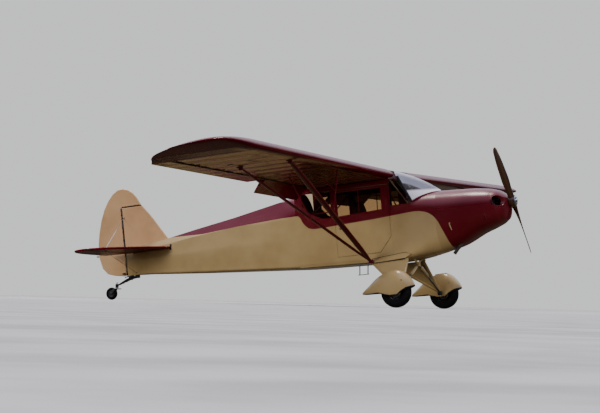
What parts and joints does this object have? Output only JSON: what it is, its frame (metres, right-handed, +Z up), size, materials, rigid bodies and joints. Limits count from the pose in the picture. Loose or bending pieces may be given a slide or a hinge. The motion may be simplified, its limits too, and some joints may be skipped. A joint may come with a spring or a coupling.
{
  "type": "light aircraft",
  "caption": "High-wing strutted light aircraft with tail wheel, tandem cabin, wheel spats, lowered flaps, hinged door, turning propeller and wheels.",
  "frame": {"origin": "middle of the bounding box, on the floor that the three wheels stand on", "axes": "+X towards the nose, +Y to port, +Z up; the aircraft stands nose up on its tail wheel"},
  "size_m": [6.9616, 10.808, 2.2988],
  "materials": {
    "maroon_paint": "gloss",
    "cream_paint": "satin gloss",
    "glazing": "clear",
    "bare_steel": "satin",
    "dark_steel": "satin",
    "engine_metal": "cast",
    "wheel_metal": "polished",
    "tyre_rubber": "matt",
    "panel_black": "matt",
    "seat_leather": "satin",
    "varnished_wood": "varnished"
  },
  "bodies": {
    "airframe": {"rear_fuselage": "cream_paint", "cabin_side_left": "cream_paint", "cabin_side_right": "cream_paint", "cabin_floor": "cream_paint", "cabin_roof": "maroon_paint", "boot_cowl": "cream_paint", "instrument_panel": "panel_black", "windscreen": "glazing", "window_front_left": "glazing", "window_front_right": "glazing", "window_mid_left": "glazing", "window_rear_left": "glazing", "window_rear_right": "glazing", "front_seat": "seat_leather", "rear_seat": "seat_leather", "control_stick": "panel_black", "upper_cowl": "maroon_paint", "lower_cowl": "maroon_paint", "nose_bowl": "maroon_paint", "engine_block": "engine_metal", "exhaust_pipe": "bare_steel", "wing_left": "maroon_paint", "wing_right": "maroon_paint", "lift_struts_left": "maroon_paint", "lift_struts_right": "maroon_paint", "jury_struts_left": "maroon_paint", "jury_struts_right": "maroon_paint", "fin": "cream_paint", "stabiliser_left": "maroon_paint", "stabiliser_right": "maroon_paint", "tail_wire_upper_left": "bare_steel", "tail_wire_upper_right": "bare_steel", "tail_wire_lower_left": "bare_steel", "tail_wire_lower_right": "bare_steel", "gear_cabane": "cream_paint", "gear_leg_left": "cream_paint", "gear_leg_right": "cream_paint", "shock_strut_left": "cream_paint", "shock_strut_right": "cream_paint", "wheel_spat_left": "cream_paint", "wheel_spat_right": "cream_paint", "tail_spring": "dark_steel", "boarding_step": "bare_steel"},
    "door_body": {"door": "cream_paint", "door_window": "glazing"},
    "propeller_body": {"propeller": "varnished_wood"},
    "wheel_left_body": {"tyre_left": "tyre_rubber", "wheel_rim_left": "wheel_metal"},
    "wheel_right_body": {"tyre_right": "tyre_rubber", "wheel_rim_right": "wheel_metal"},
    "tail_fork_body": {"tail_fork": "dark_steel"},
    "tail_wheel_body": {"tail_wheel": "tyre_rubber"},
    "aileron_left_body": {"aileron_left": "maroon_paint"},
    "aileron_right_body": {"aileron_right": "maroon_paint"},
    "flap_left_body": {"flap_left": "maroon_paint"},
    "flap_right_body": {"flap_right": "maroon_paint"},
    "elevator_body": {"elevator": "maroon_paint"},
    "rudder_body": {"rudder": "cream_paint"}
  },
  "joints": [
    {"name": "propeller_spin", "type": "hinge", "parent": "airframe", "child": "propeller_body", "pos_m": [3.38511, 0, 1.56764], "axis": [0.9931, 0, 0.1176], "continuous": true},
    {"name": "wheel_left_spin", "type": "hinge", "parent": "airframe", "child": "wheel_left_body", "pos_m": [2.00573, 0.928, 0.22214], "axis": [0, 1, 0], "continuous": true},
    {"name": "wheel_right_spin", "type": "hinge", "parent": "airframe", "child": "wheel_right_body", "pos_m": [2.00573, -0.928, 0.22214], "axis": [0, 1, 0], "continuous": true},
    {"name": "tail_fork_swivel", "type": "hinge", "parent": "airframe", "child": "tail_fork_body", "pos_m": [-3.12372, 0, 0.22109], "axis": [-0.1176, 0, 0.9931], "range_deg": [-25, 25]},
    {"name": "tail_wheel_spin", "type": "hinge", "parent": "tail_fork_body", "child": "tail_wheel_body", "pos_m": [-3.21372, 0, 0.09664], "axis": [0, 1, 0], "continuous": true},
    {"name": "aileron_left_hinge", "type": "hinge", "parent": "airframe", "child": "aileron_left_body", "pos_m": [0.34564, 2, 1.7921], "axis": [-0.0021, 0.9998, 0.018], "range_deg": [-18, 18]},
    {"name": "aileron_right_hinge", "type": "hinge", "parent": "airframe", "child": "aileron_right_body", "pos_m": [0.34564, -2, 1.7921], "axis": [0.0021, 0.9998, -0.018], "range_deg": [-18, 18]},
    {"name": "flap_left_hinge", "type": "hinge", "parent": "airframe", "child": "flap_left_body", "pos_m": [0.34777, 1, 1.77408], "axis": [0.0021, -0.9998, -0.018], "range_deg": [-40, 5]},
    {"name": "flap_right_hinge", "type": "hinge", "parent": "airframe", "child": "flap_right_body", "pos_m": [0.34777, -1, 1.77408], "axis": [-0.0021, -0.9998, 0.018], "range_deg": [-40, 5]},
    {"name": "elevator_hinge", "type": "hinge", "parent": "airframe", "child": "elevator_body", "pos_m": [-2.82622, 0, 0.74469], "axis": [0, 1, 0], "range_deg": [-20, 26]},
    {"name": "rudder_hinge", "type": "hinge", "parent": "airframe", "child": "rudder_body", "pos_m": [-2.93268, 0, 0.37662], "axis": [-0.1503, 0, 0.9886], "range_deg": [-25, 25]},
    {"name": "door_hinge", "type": "hinge", "parent": "airframe", "child": "door_body", "pos_m": [1.63235, -0.3545, 1.36014], "axis": [-0.1176, 0, 0.9931], "range_deg": [0, 33]}
  ],
  "couplings": [
    {"joint": "aileron_right_hinge", "follows": "aileron_left_hinge", "ratio": -1},
    {"joint": "flap_right_hinge", "follows": "flap_left_hinge", "ratio": 1},
    {"joint": "tail_fork_swivel", "follows": "rudder_hinge", "ratio": 1}
  ]
}
